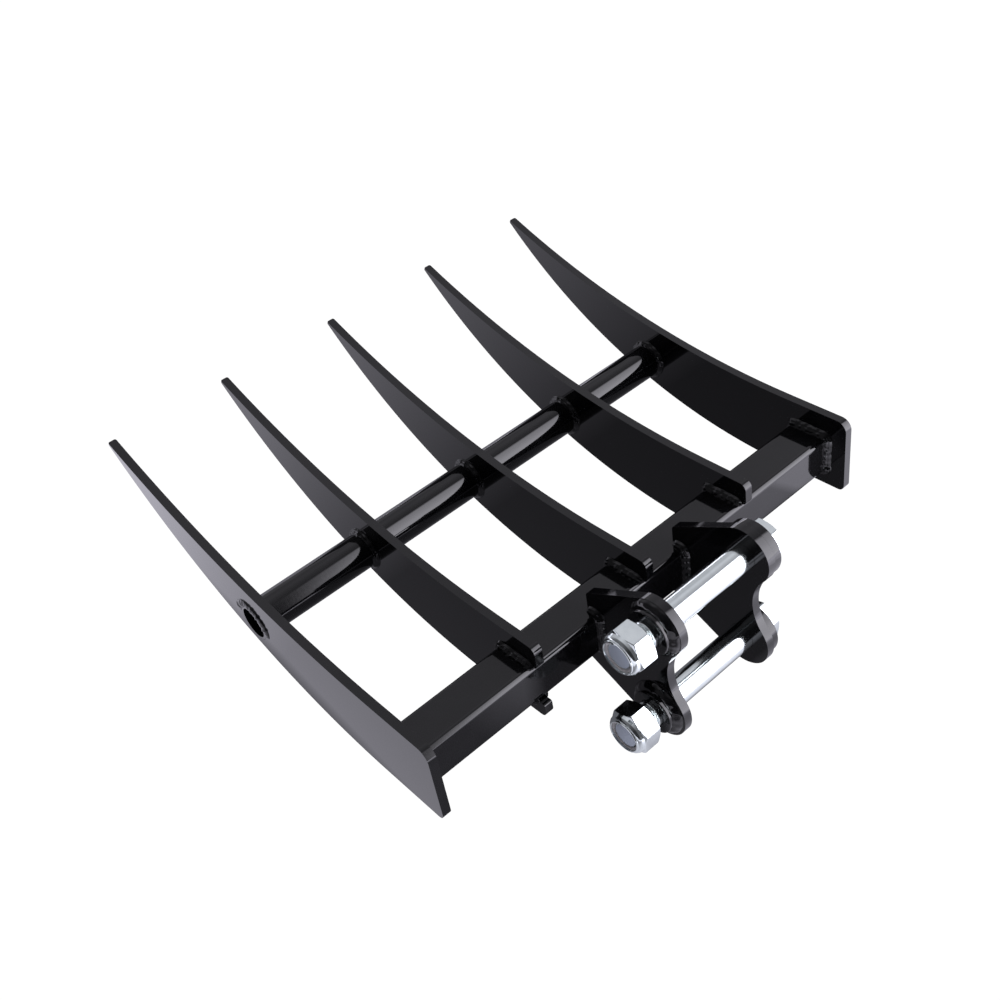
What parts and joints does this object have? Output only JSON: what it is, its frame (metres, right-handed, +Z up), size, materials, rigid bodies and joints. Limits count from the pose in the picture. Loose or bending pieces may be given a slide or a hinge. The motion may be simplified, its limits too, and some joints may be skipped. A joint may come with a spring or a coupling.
{
  "type": "excavator rake",
  "caption": "Small excavator rake with curved plate tines on a square beam, a round cross tube, and pin-on hitch ears with hex bolts and lock nuts.",
  "frame": {"origin": "on the ground, under the middle of the bounding box, with the rake standing on its ears and its tine bellies", "axes": "+X along the square beam, towards the bolt heads; +Y from the hitch to the tine tips; +Z up from the ground"},
  "size_m": [0.631, 0.6595, 0.183],
  "materials": {
    "black_paint": "gloss",
    "painted_weld": "gloss",
    "zinc_plate": "bright zinc",
    "nylon": "matt"
  },
  "bodies": {
    "root": {"bush_lower_left": "black_paint", "bush_lower_right": "black_paint", "bush_upper_left": "black_paint", "bush_upper_right": "black_paint", "cross_tube": "black_paint", "ear_left": "black_paint", "ear_right": "black_paint", "lock_nut_lower": "zinc_plate", "lock_nut_upper": "zinc_plate", "main_beam": "black_paint", "nylon_ring_lower": "nylon", "nylon_ring_upper": "nylon", "pin_lower": "zinc_plate", "pin_upper": "zinc_plate", "tine_1": "black_paint", "tine_2": "black_paint", "tine_3": "black_paint", "tine_4": "black_paint", "tine_5": "black_paint", "weld_beam_1": "painted_weld", "weld_beam_2": "painted_weld", "weld_beam_3": "painted_weld", "weld_beam_4": "painted_weld", "weld_beam_5": "painted_weld", "weld_bush_lower_left": "painted_weld", "weld_bush_upper_left": "painted_weld", "weld_ear_left": "painted_weld", "weld_ear_right": "painted_weld", "weld_tube_1": "painted_weld", "weld_tube_2": "painted_weld", "weld_tube_3": "painted_weld", "weld_tube_4": "painted_weld", "weld_tube_5": "painted_weld"}
  },
  "joints": []
}
